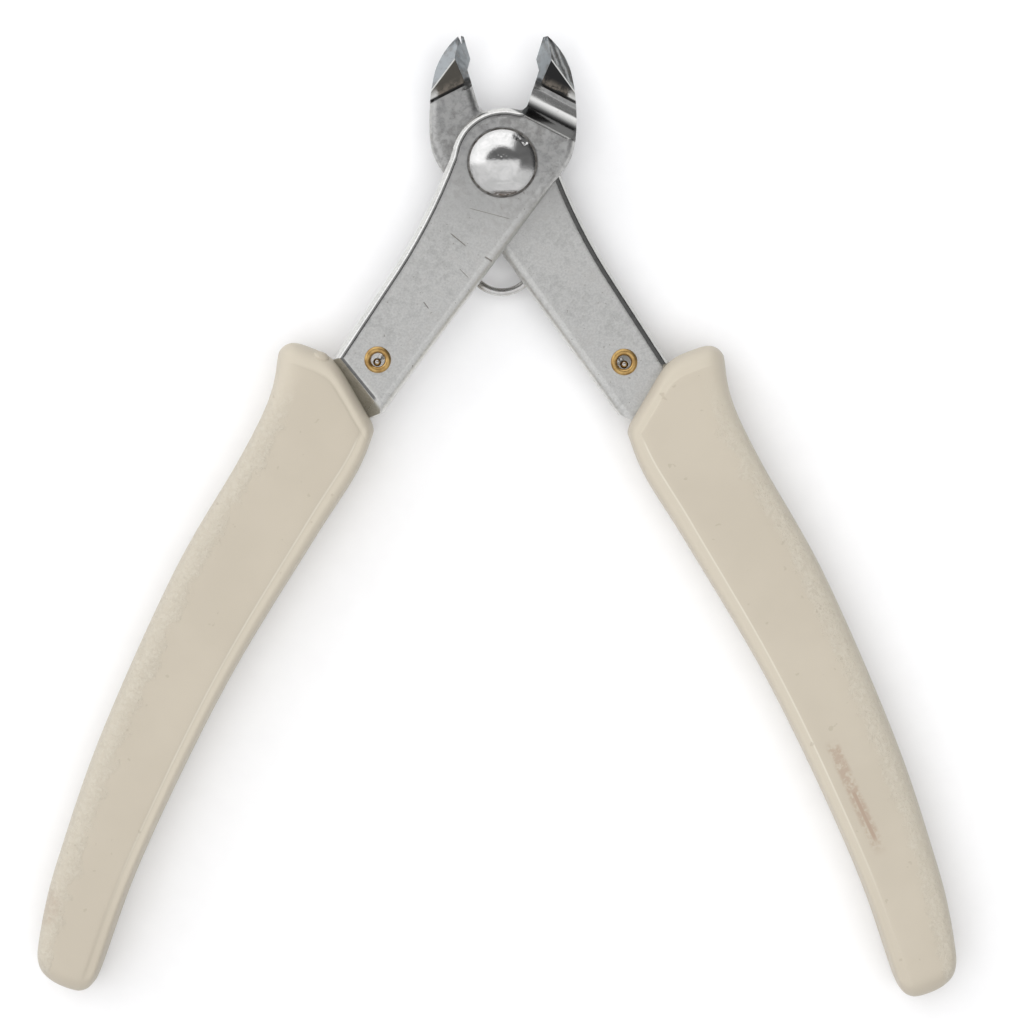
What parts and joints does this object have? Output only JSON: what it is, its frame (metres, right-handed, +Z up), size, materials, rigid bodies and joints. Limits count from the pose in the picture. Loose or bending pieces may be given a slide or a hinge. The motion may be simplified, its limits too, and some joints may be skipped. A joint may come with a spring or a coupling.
{
  "type": "sprue nippers",
  "caption": "Lap-jointed hobby side cutters with flush jaws, a riveted pivot, a wire return spring hooked in brass eyelets and moulded grips, shown held open by the spring.",
  "frame": {"origin": "centre of the bounding box in x and y, on the surface that the grips lie on", "axes": "+Z up through the pivot towards the rivet head, +Y from the grips to the jaws, +X to the right half's grip"},
  "size_m": [0.1138, 0.118, 0.0107],
  "materials": {
    "plate_steel": "satin ground sheet steel with rounded rims and ground jaw facets",
    "rivet_steel": "polished, with peening marks round the dome",
    "eyelet_brass": "rolled and slightly dulled",
    "spring_wire": "bright drawn wire",
    "grip_plastic": "cream moulded plastic, smooth panel and fine stippled edge"
  },
  "bodies": {
    "front_half": {"front_plate": "plate_steel", "left_grip": "grip_plastic", "left_eyelet": "eyelet_brass", "pivot_rivet": "rivet_steel", "tension_washer": "rivet_steel"},
    "rear_half": {"rear_plate": "plate_steel", "right_grip": "grip_plastic", "right_eyelet": "eyelet_brass"},
    "spring": {"return_spring": "spring_wire"},
    "spring_leg": {"return_spring_leg": "spring_wire"}
  },
  "joints": [
    {"name": "pivot", "type": "hinge", "parent": "front_half", "child": "rear_half", "pos_m": [0, 0.04329, 0.0065], "axis": [0, 0, -1], "range_deg": [0, 34.8], "stiffness_Nm_per_rad": 0.6},
    {"name": "spring_hook", "type": "hinge", "parent": "front_half", "child": "spring", "pos_m": [-0.01518, 0.01891, 0.0065], "axis": [0, 0, -1], "range_deg": [-11.6, 0]},
    {"name": "spring_coil", "type": "hinge", "parent": "spring", "child": "spring_leg", "pos_m": [0, 0.03179, 0.0016], "axis": [0, 0, -1], "range_deg": [0, 57.6]}
  ],
  "couplings": [
    {"joint": "spring_hook", "follows": "pivot", "ratio": -0.3246},
    {"joint": "spring_coil", "follows": "pivot", "ratio": 1.648}
  ]
}
